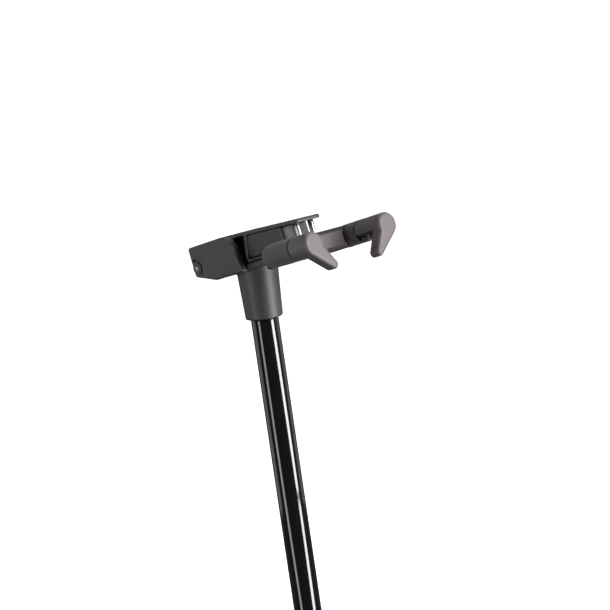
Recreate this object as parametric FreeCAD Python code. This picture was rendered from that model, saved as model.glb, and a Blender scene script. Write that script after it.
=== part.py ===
"""Guitar hanger head on a post: auto-closing yoke, folding head, collar and post tube.

Two frames are used, both in millimetres.
Row frame: origin at the centre of the post tube's lower end, +Z up the tube, +Y to the back.
Head frame: leans back by HEAD_TILT about X. In it x runs to the right arm, v runs forward along
the arms and w runs up, square to the arms. Its origin is where the post's axis meets the
platform's underside.
"""
import FreeCAD, Part
import math
import os

# ---- driving dimensions ------------------------------------------------------------------
HEAD_TILT = 12.0          # lean of the whole head, degrees
FIT = 0.04                # radial clearance of a running pin
GAP = 0.3                 # clearance between neighbouring moulded pieces

TUBE_R = 9.5              # post tube
TUBE_WALL = 1.5
TUBE_SHOWN = 210.0        # tube between the height clutch and the collar
TUBE_GRIPPED = 60.0       # tube inside the height clutch
TUBE_IN_COLLAR = 28.0
SPIGOT_STEP = 0.3           # tube's end inside the collar is this much smaller in radius
PLUG_LENGTH = 16.0
INSERT_LENGTH = 25.0

COLLAR_FOOT_R = 12.8      # tapered collar
COLLAR_HEAD_R = 14.3
COLLAR_HEIGHT = 34.0      # on the axis, up to the platform's underside
COLLAR_RIM = 1.2
PLATFORM_T = 4.3
PLATFORM_BACK = -17.0
PLATFORM_FRONT = 40.0
COLLAR_SCREW_R = 1.8
COLLAR_SCREW_HEAD_R = 3.4
COLLAR_SCREW_HEAD_T = 1.6
COLLAR_SCREW_HEIGHTS = (9.0, 21.0)

HINGE_V = -37.3           # fold hinge
HINGE_W = 11.6
HINGE_PIN_R = 1.6
HINGE_BUSH_R = 3.5
HINGE_BUSH_LENGTH = 6.0
EAR_R = 6.0
HINGE_RECESS_R = 6.0
HINGE_RECESS_DEPTH = 1.6
HINGE_WASHER_T = 1.0
HINGE_WASHER_R = 4.0

HEAD_HALF_WIDTH = 20.0    # head housing
HEAD_BACK = -44.5
HEAD_TOP = 26.7
CHEEK_T = 5.4
CHEEK_FRONT = 7.0
CHEEK_ARC_R = 13.7
CHEEK_ARC_V = -8.4
ROOF_T = 2.6
ROOF_SLOPE = 0.0593
ROOF_HALF_WIDTH = 12.6
ROOF_FRONT = 63.0
WEB_HALF_WIDTH = 12.4
WEB_NECK_HALF = 7.0         # web behind its rim
WEB_RIM = 4.2
SILL_HALF_WIDTH = 11.5
WEB_BACK = -10.0
SILL_TOP = 7.15
REST_GAP = 0.4            # head housing above the platform

STEM_HALF_WIDTH = 12.6    # yoke stem
STEM_BOTTOM = 7.5
STEM_BACK_LOW = 8.0
STEM_BACK_HIGH = 13.2
BRACKET_BACK = 42.0
BRACKET_FACE = 46.2
BRACKET_BOTTOM = -4.4
FLANGE_T = 2.4
FLANGE_FRONT = 59.8         # flange under the crossbar that the guide pins stand on
STEM_SCREW_R = 2.0
STEM_SCREW_HEAD_R = 3.8
STEM_SCREW_HEAD_T = 1.2
STEM_SCREW_GRIP = 8.0     # length of thread in the stem
STEM_SCREW_VS = (19.0, 34.0)

ARM_X = 34.25             # yoke; ARM_X and ARM_W place the gate shafts
ARM_W = 3.0
FOAM_R = 7.9
FOAM_RISE = 0.1           # middle of the foam above the gate shaft
CORE_R = 5.0
ELBOW_R = 6.6
ELBOW_V = 56.0
FOAM_ELBOW_V = 57.1         # middle of the foam's domed elbow
BAR_BACK = 47.3
BAR_FRONT = 62.0
BAR_HALF_HEIGHT = 7.6
BAR_END_R = 4.0             # corners at the crossbar's ends
BAR_PLAN_R = 3.5
BAR_CAVITY_HALF = 6.8
FOAM_END = 79.4
LAP_BACK = 72.3           # back of the half-lap between foam and gate
NOSE_END = 80.0
NOSE_GAP = 0.5            # arm's end to the gate behind its hub

GATE_SWING = 46.0         # gates and their cranks
CRANK_THROW = 9.0
CRANK_T = 3.3
CRANK_V = 52.2
CRANK_PIN_R = 1.5
CRANK_HUB_R = 3.9
CRANK_END_R = 2.8
CRANK_ROOM = 0.4          # clearance round the cranks
SHAFT_R = 2.5
SHAFT_END = 93.0
BUSH_R = 4.0
SHAFT_BUSH_LENGTH = 5.0
GATE_BACK = 72.9          # back of the gate's tongue
HUB_BACK = 80.2
GATE_TAPER_END = 85.0
GATE_PLATE_BACK = 89.5
GATE_FRONT = 98.5
GATE_HUB_R = 8.3
GATE_DROP = 0.3           # middle of the gate's hub below the gate shaft
GATE_BACK_R = 7.9
GATE_ROOT_R = 5.2         # from the gate shaft to the finger's inner edge
GATE_TIP_R = 3.1
GATE_REACH_X = 12.9       # gate shaft to tip, across
GATE_REACH_W = 16.6       # gate shaft to tip, down
GATE_NOTCH_R = 1.6        # hollow corner between hub and finger
GATE_EDGE = 2.4
GATE_BACK_EDGE = 1.5
HUB_FROM = -75.0          # degrees round the arm, from the outside over the top
TONGUE_FROM = 110.0
HUB_TO = 193.0
STOP_PLAY = 2.0
STOP_SPAN = 44.0
CORE_PLATE_T = 4.0
CORE_MARGIN = 2.2
ROLL_PIN_R = 1.0
ROLL_PIN_PROUD = 0.6      # roll pin's ends past the boss bore


CAM_BACK = 47.5           # cam bar that the crank pins run in
CAM_FRONT = 50.0
CAM_HALF_LENGTH = 29.0
CAM_WALL = 1.5
CAM_SCREW_X = 5.0
CAM_SCREW_R = 1.25
CAM_SCREW_HEAD_R = 2.3
CAM_SCREW_HEAD_T = 1.2
CAM_SCREW_GRIP = 3.0
CAM_BOSS_HALF_X = 8.0
CAM_BOSS_HALF_W = 2.5
PIN_PLAY = 0.15
GUIDE_X = 6.5             # guide pins and return springs
GUIDE_V = 56.6
GUIDE_R = 2.0
GUIDE_BUSH_R = 3.0
SPRING_POCKET_R = 4.4
SPRING_POCKET_TOP = 6.0
SPRING_MEAN_R = 3.4
SPRING_WIRE_R = 0.45
SPRING_TURNS = 5.0
PAD_T = 3.0
PAD_HALF_WIDTH = 24.0
PAD_MARGIN = 2.6          # crossbar's edge to the pad's edge
COVER_T = 1.3
COVER_SCREW_X = 31.0
COVER_END = 33.4            # outer end of the crossbar's covers
COVER_SCREW_R = 1.0
COVER_SCREW_HEAD_R = 1.9
COVER_SCREW_HEAD_T = 0.8
COVER_SCREW_GRIP = 3.0
SOCKET_SHARE = 0.7        # driver socket's radius as a share of the screw's
BUMPER_R = 3.0
BUMPER_DEPTH = 1.0
BUMPER_X = 7.0
BUMPER_V = 30.0

# ---- derived dimensions ------------------------------------------------------------------
COLLAR_Z = TUBE_GRIPPED + TUBE_SHOWN
TUBE_TOP = COLLAR_Z + TUBE_IN_COLLAR
BORE_R = TUBE_R - TUBE_WALL
SPIGOT_Z = COLLAR_Z - GAP
SPIGOT_R = TUBE_R - SPIGOT_STEP
CHEEK_IN = HEAD_HALF_WIDTH - CHEEK_T
EAR_HALF_WIDTH = CHEEK_IN - GAP
HALF_SWING = math.radians(GATE_SWING / 2.0)
YOKE_RISE = 2.0 * CRANK_THROW * math.sin(HALF_SWING)
CRANK_PIN_X = ARM_X - CRANK_THROW * math.cos(HALF_SWING)
CRANK_PIN_W = ARM_W + CRANK_THROW * math.sin(HALF_SWING)
BAR_BOTTOM = ARM_W - BAR_HALF_HEIGHT
BAR_TOP = ARM_W + BAR_HALF_HEIGHT
FLANGE_TOP = BRACKET_BOTTOM + FLANGE_T
GUIDE_FOOT = BRACKET_BOTTOM + FLANGE_T / 3.0
HEAD_FLOOR = PLATFORM_T + REST_GAP
FAR = 200.0               # longer than anything it cuts

HEAD_PLACE = FreeCAD.Placement(
    FreeCAD.Vector(0, 0, COLLAR_Z + COLLAR_HEIGHT),
    FreeCAD.Rotation(FreeCAD.Vector(1, 0, 0), -HEAD_TILT))


# ---- helpers -----------------------------------------------------------------------------
def at(x, v, w):
    """A point of the head frame as a vector in the head's own drawing axes."""
    return FreeCAD.Vector(x, -v, w)


def block(x0, x1, v0, v1, w0, w1):
    return Part.makeBox(x1 - x0, v1 - v0, w1 - w0, at(x0, v1, w0))


def rod_x(radius, x0, x1, v, w):
    return Part.makeCylinder(radius, x1 - x0, at(x0, v, w), FreeCAD.Vector(1, 0, 0))


def rod_v(radius, v0, v1, x, w):
    return Part.makeCylinder(radius, v1 - v0, at(x, v0, w), FreeCAD.Vector(0, -1, 0))


def rod_w(radius, w0, w1, x, v):
    return Part.makeCylinder(radius, w1 - w0, at(x, v, w0), FreeCAD.Vector(0, 0, 1))


def polar(centre, radius, degrees):
    """The point of a circle in a two-axis outline."""
    turn = math.radians(degrees)
    return (centre[0] + radius * math.cos(turn), centre[1] + radius * math.sin(turn))


def rounded(corners):
    """Outline segments of a polygon given as (a, b, corner radius)."""
    segments = []
    starts = []
    ends = []
    for i, (a, b, radius) in enumerate(corners):
        before = corners[i - 1]
        after = corners[(i + 1) % len(corners)]
        to_before = FreeCAD.Vector(before[0] - a, before[1] - b, 0).normalize()
        to_after = FreeCAD.Vector(after[0] - a, after[1] - b, 0).normalize()
        corner = FreeCAD.Vector(a, b, 0)
        if radius == 0:
            starts.append((a, b))
            ends.append((a, b))
            segments.append(None)
            continue
        half = to_before.getAngle(to_after) / 2.0
        trim = radius / math.tan(half)
        start = corner + to_before * trim
        end = corner + to_after * trim
        middle = (to_before + to_after).normalize()
        nearest = corner + middle * (radius / math.sin(half) - radius)
        starts.append((start.x, start.y))
        ends.append((end.x, end.y))
        segments.append([(start.x, start.y), (nearest.x, nearest.y), (end.x, end.y)])
    outline = []
    for i in range(len(corners)):
        if segments[i]:
            outline.append(segments[i])
        outline.append([ends[i], starts[(i + 1) % len(corners)]])
    return outline


def belt(centre_a, radius_a, centre_b, radius_b):
    """Outline of a belt round two circles: two arcs and their two outer tangents."""
    along = math.degrees(math.atan2(centre_b[1] - centre_a[1], centre_b[0] - centre_a[0]))
    distance = math.dist(centre_a, centre_b)
    lean = math.degrees(math.acos((radius_a - radius_b) / distance))
    a_left = polar(centre_a, radius_a, along + lean)
    a_far = polar(centre_a, radius_a, along + 180.0)
    a_right = polar(centre_a, radius_a, along - lean)
    b_left = polar(centre_b, radius_b, along + lean)
    b_far = polar(centre_b, radius_b, along)
    b_right = polar(centre_b, radius_b, along - lean)
    return [[a_left, a_far, a_right], [a_right, b_right], [b_right, b_far, b_left], [b_left, a_left]]


def ring_sector(centre, inner, outer, start, stop):
    """Outline of part of a ring between two angles in degrees."""
    middle = (start + stop) / 2.0
    return [[polar(centre, outer, start), polar(centre, outer, middle), polar(centre, outer, stop)],
            [polar(centre, outer, stop), polar(centre, inner, stop)],
            [polar(centre, inner, stop), polar(centre, inner, middle), polar(centre, inner, start)],
            [polar(centre, inner, start), polar(centre, outer, start)]]


def prism(outline, place, along):
    """Extrude an outline; place turns an outline point into a vector."""
    edges = []
    for segment in outline:
        points = [place(a, b) for a, b in segment]
        if len(points) == 3:
            edges.append(Part.Arc(*points).toShape())
        elif points[0].distanceToPoint(points[1]) > 1e-6:
            edges.append(Part.LineSegment(*points).toShape())
    wire = Part.Wire(Part.__sortEdges__(edges))
    return Part.Face(wire).extrude(along)


def side_prism(outline, x0, x1):
    """Outline in (v, w), extruded across the head."""
    return prism(outline, lambda v, w: at(x0, v, w), FreeCAD.Vector(x1 - x0, 0, 0))


def plan_prism(outline, w0, w1):
    """Outline in (x, v), extruded upwards."""
    return prism(outline, lambda x, v: at(x, v, w0), FreeCAD.Vector(0, 0, w1 - w0))


def front_prism(outline, v0, v1):
    """Outline in (x, w), extruded forwards."""
    return prism(outline, lambda x, w: at(x, v0, w), FreeCAD.Vector(0, v0 - v1, 0))


def fuse(first, *others):
    shape = first
    for other in others:
        shape = shape.fuse(other)
    return shape.removeSplitter()


def cut(first, *others):
    shape = first
    for other in others:
        shape = shape.cut(other)
    return shape


def mirrored(shape):
    return shape.mirror(FreeCAD.Vector(0, 0, 0), FreeCAD.Vector(1, 0, 0))


def both_sides(shape):
    return Part.makeCompound([mirrored(shape), shape])


def roof_top(v):
    return HEAD_TOP - ROOF_SLOPE * (v - CHEEK_ARC_V)


def roof_under(v):
    return roof_top(v) - ROOF_T


# ---- post: tube, collar, hinge bushes ----------------------------------------------------
def post_tube():
    body = Part.makeCylinder(TUBE_R, SPIGOT_Z)
    tube = fuse(body, Part.makeCylinder(SPIGOT_R, TUBE_TOP))
    bore = Part.makeCylinder(BORE_R, TUBE_TOP)
    screw_holes = [collar_screw_rod(height, COLLAR_SCREW_R) for height in COLLAR_SCREW_HEIGHTS]
    return cut(tube, bore, *screw_holes)


def tube_end_plug():
    flange_t = 3.0
    wall = 2.0
    plug = Part.makeCylinder(BORE_R, PLUG_LENGTH)
    hollow = Part.makeCylinder(BORE_R - wall, PLUG_LENGTH, FreeCAD.Vector(0, 0, flange_t))
    return cut(plug, hollow)


def tube_insert():
    insert = Part.makeCylinder(BORE_R, INSERT_LENGTH, FreeCAD.Vector(0, 0, TUBE_TOP - INSERT_LENGTH))
    screw_holes = [collar_screw_rod(height, COLLAR_SCREW_R) for height in COLLAR_SCREW_HEIGHTS]
    return cut(insert, *screw_holes)


def collar_radius(height):
    return COLLAR_FOOT_R + (COLLAR_HEAD_R - COLLAR_FOOT_R) * height / COLLAR_HEIGHT


def collar_screw_rod(height, radius, depth=0.0):
    """A radial rod at the back of the collar, from near the axis to depth below the surface."""
    inner = TUBE_R / 3.0
    outer = collar_radius(height) - depth
    return Part.makeCylinder(radius, outer - inner, FreeCAD.Vector(0, inner, COLLAR_Z + height),
                             FreeCAD.Vector(0, 1, 0))


def collar_screw_head(height, radius, thickness):
    inner = collar_radius(height) - COLLAR_SCREW_HEAD_T
    return Part.makeCylinder(radius, thickness, FreeCAD.Vector(0, inner, COLLAR_Z + height),
                             FreeCAD.Vector(0, 1, 0))


def collar_screws():
    slot_depth = 0.8
    slot_width = 1.0
    screws = []
    for height in COLLAR_SCREW_HEIGHTS:
        shank = collar_screw_rod(height, COLLAR_SCREW_R, COLLAR_SCREW_HEAD_T)
        head = collar_screw_head(height, COLLAR_SCREW_HEAD_R, COLLAR_SCREW_HEAD_T - COLLAR_RIM / 2.0)
        screw = fuse(shank, head)
        face_y = collar_radius(height) - COLLAR_RIM / 2.0
        slot = Part.makeBox(2.0 * COLLAR_SCREW_HEAD_R, slot_depth, slot_width)
        slot.translate(FreeCAD.Vector(-COLLAR_SCREW_HEAD_R, face_y - slot_depth,
                                      COLLAR_Z + height - slot_width / 2.0))
        screws.append(cut(screw, slot))
    return Part.makeCompound(screws)


def platform():
    corner = 5.0
    half = EAR_HALF_WIDTH
    outline = rounded([(-half, PLATFORM_BACK, 0), (half, PLATFORM_BACK, 0),
                       (half, PLATFORM_FRONT, corner), (-half, PLATFORM_FRONT, corner)])
    return plan_prism(outline, 0.0, PLATFORM_T)


def hinge_ear():
    foot_r = 3.2
    foot_v = PLATFORM_BACK + 1.0
    outline = belt((HINGE_V, HINGE_W), EAR_R, (foot_v, foot_r), foot_r)
    return side_prism(outline, -EAR_HALF_WIDTH, EAR_HALF_WIDTH)


def collar():
    """Tapered sleeve, platform and hinge ear, moulded as one piece. Built in the head frame."""
    spare = 12.0
    height = COLLAR_HEIGHT + spare
    cone = Part.makeCone(COLLAR_FOOT_R, collar_radius(height), height)
    rim = [e for e in cone.Edges if abs(e.CenterOfMass.z) < 0.01 and e.Length > COLLAR_FOOT_R]
    cone = cone.makeFillet(COLLAR_RIM, rim)
    cone.translate(FreeCAD.Vector(0, 0, COLLAR_Z))
    cone = into_head_frame(cone)
    sleeve = cone.cut(block(-FAR, FAR, -FAR, FAR, 0, FAR))
    body = fuse(sleeve, platform(), hinge_ear())
    top_of_bore = TUBE_TOP + GAP
    bore = Part.makeCylinder(SPIGOT_R, top_of_bore - COLLAR_Z, FreeCAD.Vector(0, 0, COLLAR_Z))
    tools = [into_head_frame(bore), rod_x(HINGE_BUSH_R, -FAR, FAR, HINGE_V, HINGE_W)]
    for height in COLLAR_SCREW_HEIGHTS:
        tools.append(into_head_frame(collar_screw_rod(height, COLLAR_SCREW_R)))
        tools.append(into_head_frame(collar_screw_head(height, COLLAR_SCREW_HEAD_R, FAR / 2.0)))
    for x in (-BUMPER_X, BUMPER_X):
        tools.append(rod_w(BUMPER_R, PLATFORM_T - BUMPER_DEPTH, FAR, x, BUMPER_V))
    return cut(body, *tools)


def hinge_bushes():
    bush = rod_x(HINGE_BUSH_R, EAR_HALF_WIDTH - HINGE_BUSH_LENGTH, EAR_HALF_WIDTH, HINGE_V, HINGE_W)
    bush = bush.cut(rod_x(HINGE_PIN_R + FIT, -FAR, FAR, HINGE_V, HINGE_W))
    return both_sides(bush)


def rest_bumpers():
    bumper = rod_w(BUMPER_R, PLATFORM_T - BUMPER_DEPTH, HEAD_FLOOR, BUMPER_X, BUMPER_V)
    return both_sides(bumper)


# ---- head: housing, stem, hinge pin, cam bar, guides -------------------------------------
def cheek_outline():
    corner = 3.0
    slant_from = -22.0
    slant_rise = 7.4
    arc_w = HEAD_TOP - CHEEK_ARC_R
    arc_end = (CHEEK_ARC_V + CHEEK_ARC_R, arc_w)
    arc_middle = polar((CHEEK_ARC_V, arc_w), CHEEK_ARC_R, 45.0)
    top_middle = polar((HEAD_BACK + corner, HEAD_TOP - corner), corner, 135.0)
    return [[(CHEEK_ARC_V, HEAD_TOP), arc_middle, arc_end],
            [arc_end, (CHEEK_FRONT, 0.0)],
            [(CHEEK_FRONT, 0.0), (slant_from, 0.0)],
            [(slant_from, 0.0), (HEAD_BACK, slant_rise)],
            [(HEAD_BACK, slant_rise), (HEAD_BACK, HEAD_TOP - corner)],
            [(HEAD_BACK, HEAD_TOP - corner), top_middle, (HEAD_BACK + corner, HEAD_TOP)],
            [(HEAD_BACK + corner, HEAD_TOP), (CHEEK_ARC_V, HEAD_TOP)]]


def cheeks():
    back_corner = 7.0
    half = HEAD_HALF_WIDTH
    body = side_prism(cheek_outline(), -half, half)
    plan = rounded([(-half, HEAD_BACK, back_corner), (half, HEAD_BACK, back_corner),
                    (half, CHEEK_FRONT, 0), (-half, CHEEK_FRONT, 0)])
    body = body.common(plan_prism(plan, -FAR, FAR))
    rear_roof_under = HEAD_TOP - ROOF_T * 1.5
    inside = block(-CHEEK_IN, CHEEK_IN, -FAR, FAR, -FAR, rear_roof_under)
    return body.cut(inside)


def front_roof():
    """The roof narrows from the cheeks to the stem's width in a hollow curve on each side."""
    flare_from = CHEEK_ARC_V
    flare_r = 9.0
    nose_r = 5.0
    narrow = ROOF_HALF_WIDTH
    wide = HEAD_HALF_WIDTH - 1.0
    plan = rounded([(-wide, flare_from, 0), (wide, flare_from, 0),
                    (narrow, flare_from + flare_r, flare_r), (narrow, ROOF_FRONT, nose_r),
                    (-narrow, ROOF_FRONT, nose_r), (-narrow, flare_from + flare_r, flare_r)])
    slab = plan_prism(plan, 0, FAR)
    side = rounded([(flare_from, roof_top(flare_from), 0), (flare_from, roof_under(flare_from), 0),
                    (ROOF_FRONT, roof_under(ROOF_FRONT), 0), (ROOF_FRONT, roof_top(ROOF_FRONT), 1.5)])
    return slab.common(side_prism(side, -FAR, FAR))


def stem_back(w):
    """The stem's back edge leans; v of that edge at height w."""
    share = (w - STEM_BOTTOM) / (roof_under(STEM_BACK_HIGH) - STEM_BOTTOM)
    return STEM_BACK_LOW + share * (STEM_BACK_HIGH - STEM_BACK_LOW)


def housing_web():
    """Wall behind the stem: a rim as wide as the stem, and a narrower neck behind it."""
    top = roof_under(WEB_BACK) + ROOF_T / 2.0
    outline = rounded([(WEB_BACK, HEAD_FLOOR, 0), (WEB_BACK, top, 0), (stem_back(top) - GAP, top, 0),
                       (STEM_BACK_LOW - GAP, STEM_BOTTOM, 0), (STEM_BACK_LOW - GAP, HEAD_FLOOR, 0)])
    web = side_prism(outline, -WEB_HALF_WIDTH, WEB_HALF_WIDTH)
    behind = rounded([(WEB_BACK - FAR, HEAD_FLOOR, 0), (WEB_BACK - FAR, top, 0),
                      (stem_back(top) - WEB_RIM, top, 0), (STEM_BACK_LOW - WEB_RIM, HEAD_FLOOR, 0)])
    beside = side_prism(behind, WEB_NECK_HALF, FAR)
    hollow_half = WEB_NECK_HALF - 2.5
    hollow = block(-hollow_half, hollow_half, WEB_BACK - 1.0, STEM_BACK_LOW - WEB_RIM, HEAD_FLOOR + 2.5, FAR)
    return cut(web, beside, mirrored(beside), hollow)


def housing_sill():
    return block(-SILL_HALF_WIDTH, SILL_HALF_WIDTH, WEB_BACK, BRACKET_BACK - GAP, HEAD_FLOOR, SILL_TOP)


def head_housing():
    body = fuse(cheeks(), front_roof(), housing_web(), housing_sill())
    tools = [rod_x(HINGE_PIN_R, -FAR, FAR, HINGE_V, HINGE_W)]
    recess = rod_x(HINGE_RECESS_R, HEAD_HALF_WIDTH - HINGE_RECESS_DEPTH, FAR, HINGE_V, HINGE_W)
    tools += [recess, mirrored(recess)]
    for v in STEM_SCREW_VS:
        tools.append(rod_w(STEM_SCREW_R, -FAR, SILL_TOP, 0, v))
        tools.append(rod_w(STEM_SCREW_HEAD_R + GAP, -FAR, HEAD_FLOOR + STEM_SCREW_HEAD_T, 0, v))
    for x in (-GUIDE_X, GUIDE_X):
        tools.append(rod_w(GUIDE_R, FLANGE_TOP, roof_under(GUIDE_V) + ROOF_T / 2.0, x, GUIDE_V))
    return cut(body, *tools)


def stem_screws():
    screws = []
    seat = HEAD_FLOOR + STEM_SCREW_HEAD_T
    for v in STEM_SCREW_VS:
        head = rod_w(STEM_SCREW_HEAD_R, HEAD_FLOOR + GAP / 3.0, seat, 0, v)
        shank = rod_w(STEM_SCREW_R, seat, STEM_BOTTOM + STEM_SCREW_GRIP, 0, v)
        socket = rod_w(STEM_SCREW_R * SOCKET_SHARE, HEAD_FLOOR, seat + STEM_SCREW_R / 2.0, 0, v)
        screws.append(fuse(head, shank).cut(socket))
    return Part.makeCompound(screws)


def yoke_stem():
    low_r = 3.0
    high_r = 5.0
    clear = 0.2
    top = roof_under(STEM_BACK_HIGH) - clear
    end_top = roof_under(BRACKET_FACE) - clear
    outline = rounded([(STEM_BACK_LOW, STEM_BOTTOM, low_r), (STEM_BACK_HIGH, top, high_r),
                       (BRACKET_FACE, end_top, 0), (BRACKET_FACE, FLANGE_TOP, 0),
                       (FLANGE_FRONT, FLANGE_TOP, 0), (FLANGE_FRONT, BRACKET_BOTTOM, 1.0),
                       (BRACKET_BACK, BRACKET_BOTTOM, 4.0), (BRACKET_BACK, STEM_BOTTOM, 0)])
    stem = side_prism(outline, -STEM_HALF_WIDTH, STEM_HALF_WIDTH)
    boss = block(-CAM_BOSS_HALF_X, CAM_BOSS_HALF_X, BRACKET_BACK, CAM_BACK,
                 CRANK_PIN_W - CAM_BOSS_HALF_W, CRANK_PIN_W + CAM_BOSS_HALF_W)
    stem = fuse(stem, boss)
    tools = []
    for x in (-GUIDE_X, GUIDE_X):
        tools.append(rod_w(GUIDE_R, GUIDE_FOOT, FLANGE_TOP, x, GUIDE_V))
    for v in STEM_SCREW_VS:
        tools.append(rod_w(STEM_SCREW_R, 0, STEM_BOTTOM + STEM_SCREW_GRIP, 0, v))
    for x in cam_screw_xs():
        tools.append(cam_screw_shank(x))
    return cut(stem, *tools)


def cam_screw_xs():
    return (-CAM_SCREW_X, CAM_SCREW_X)


def cam_screw_shank(x):
    return rod_v(CAM_SCREW_R, BRACKET_FACE - CAM_SCREW_GRIP, CAM_FRONT, x, CRANK_PIN_W)


def cam_screw_head(x):
    return rod_v(CAM_SCREW_HEAD_R, CAM_FRONT - CAM_SCREW_HEAD_T, CAM_FRONT, x, CRANK_PIN_W)


def cam_screws():
    screws = []
    for x in cam_screw_xs():
        socket = rod_v(CAM_SCREW_R * SOCKET_SHARE, CAM_FRONT - CAM_SCREW_HEAD_T, CAM_FRONT, x, CRANK_PIN_W)
        screws.append(fuse(cam_screw_shank(x), cam_screw_head(x)).cut(socket))
    return Part.makeCompound(screws)


def cam_bar():
    """Fixed bar whose open slots hold the crank pins at one height while the yoke moves."""
    slot_half = CRANK_PIN_R + PIN_PLAY
    half = slot_half + CAM_WALL
    bar = block(-CAM_HALF_LENGTH, CAM_HALF_LENGTH, CAM_BACK, CAM_FRONT,
                CRANK_PIN_W - half, CRANK_PIN_W + half)
    slot_end = ARM_X - CRANK_THROW - slot_half
    slot = fuse(block(slot_end, FAR, 0, FAR, CRANK_PIN_W - slot_half, CRANK_PIN_W + slot_half),
                rod_v(slot_half, 0, FAR, slot_end, CRANK_PIN_W))
    tools = [slot, mirrored(slot)]
    for x in cam_screw_xs():
        tools += [cam_screw_shank(x), cam_screw_head(x)]
    return cut(bar, *tools)


def hinge_pin():
    chamfer = 0.3
    half = HEAD_HALF_WIDTH - HINGE_RECESS_DEPTH + HINGE_WASHER_T + chamfer
    pin = rod_x(HINGE_PIN_R, -half, half, HINGE_V, HINGE_W)
    ends = [e for e in pin.Edges if abs(abs(e.CenterOfMass.x) - half) < 0.01]
    return pin.makeChamfer(chamfer, ends)


def hinge_washers():
    inner_face = HEAD_HALF_WIDTH - HINGE_RECESS_DEPTH
    washer = rod_x(HINGE_WASHER_R, inner_face, inner_face + HINGE_WASHER_T, HINGE_V, HINGE_W)
    return both_sides(washer.cut(rod_x(HINGE_PIN_R, -FAR, FAR, HINGE_V, HINGE_W)))


def guide_pins():
    top = roof_under(GUIDE_V) + ROOF_T / 2.0
    return both_sides(rod_w(GUIDE_R, GUIDE_FOOT, top, GUIDE_X, GUIDE_V))


def return_springs():
    """Two coil springs that lift the empty yoke."""
    height = SPRING_POCKET_TOP - FLANGE_TOP - 2.0 * SPRING_WIRE_R - 2.0 * GAP / 3.0
    helix = Part.makeHelix(height / SPRING_TURNS, height, SPRING_MEAN_R)
    start = FreeCAD.Vector(SPRING_MEAN_R, 0, 0)
    section = Part.Wire(Part.makeCircle(SPRING_WIRE_R, start, FreeCAD.Vector(0, 1, 0)))
    coil = Part.Wire(helix).makePipeShell([section], True, True)
    coil = Part.makeSolid(coil) if coil.ShapeType != "Solid" else coil
    place = at(GUIDE_X, GUIDE_V, FLANGE_TOP + SPRING_WIRE_R + GAP / 3.0)
    right = coil.translated(place)
    left = coil.translated(at(-GUIDE_X, GUIDE_V, FLANGE_TOP + SPRING_WIRE_R + GAP / 3.0))
    return Part.makeCompound([left, right])


# ---- yoke: frame, foam, covers, bushes ---------------------------------------------------
def elbow(radius):
    return Part.makeSphere(radius, at(ARM_X, ELBOW_V, ARM_W))


def yoke_frame():
    edge = 2.5
    outline = rounded([(BAR_BACK, BAR_BOTTOM, 0), (BAR_BACK, BAR_TOP, 0),
                       (BAR_FRONT, BAR_TOP, edge), (BAR_FRONT, BAR_BOTTOM, edge)])
    body = side_prism(outline, -ARM_X, ARM_X)
    face = rounded([(-ARM_X, BAR_BOTTOM, BAR_END_R), (ARM_X, BAR_BOTTOM, BAR_END_R),
                    (ARM_X, BAR_TOP, BAR_END_R), (-ARM_X, BAR_TOP, BAR_END_R)])
    plan = rounded([(-ARM_X, BAR_BACK, BAR_PLAN_R), (ARM_X, BAR_BACK, BAR_PLAN_R),
                    (ARM_X, BAR_FRONT, 0), (-ARM_X, BAR_FRONT, 0)])
    body = body.common(front_prism(face, 0, FAR)).common(plan_prism(plan, -FAR, FAR))
    arm = fuse(elbow(ELBOW_R), rod_v(CORE_R, ELBOW_V, NOSE_END, ARM_X, ARM_W))
    chamfer = 0.6
    tip = [e for e in arm.Edges if abs(e.CenterOfMass.y + NOSE_END) < 0.01]
    arm = arm.makeChamfer(chamfer, tip)
    body = fuse(body, arm, mirrored(arm))
    room_end = COVER_SCREW_X - COVER_SCREW_R - CRANK_ROOM
    room_low = ARM_W - BAR_CAVITY_HALF
    room_high = ARM_W + BAR_CAVITY_HALF
    room_front = CRANK_V - 2.0 * CRANK_ROOM
    plate_room = block(-room_end, room_end, 0, room_front, room_low, room_high)
    crank_end = CRANK_V + CRANK_T + CRANK_ROOM
    crank_inner = ARM_X - CRANK_THROW - CRANK_HUB_R
    crank_room = fuse(block(crank_inner, ARM_X, room_front - CRANK_ROOM, crank_end, room_low, room_high),
                      rod_v(CRANK_HUB_R + CRANK_ROOM, CRANK_V - CRANK_ROOM, crank_end, ARM_X, ARM_W))
    arm_bore = rod_v(BUSH_R, crank_end, FAR, ARM_X, ARM_W)
    flange_half = STEM_HALF_WIDTH + GAP
    flange_room = block(-flange_half, flange_half, 0, FLANGE_FRONT + GAP, -FAR, FLANGE_TOP + GAP)
    tools = [plate_room, crank_room, mirrored(crank_room), arm_bore, mirrored(arm_bore), flange_room]
    for x in (-GUIDE_X, GUIDE_X):
        tools.append(rod_w(GUIDE_BUSH_R, -FAR, FAR, x, GUIDE_V))
        tools.append(rod_w(SPRING_POCKET_R, -FAR, SPRING_POCKET_TOP, x, GUIDE_V))
    screw = cover_screw_shank()
    tools += [screw, mirrored(screw)]
    return cut(body, *tools)


def guide_bushes():
    bush = rod_w(GUIDE_BUSH_R, SPRING_POCKET_TOP, BAR_TOP, GUIDE_X, GUIDE_V)
    return both_sides(bush.cut(rod_w(GUIDE_R + FIT, -FAR, FAR, GUIDE_X, GUIDE_V)))


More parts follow.
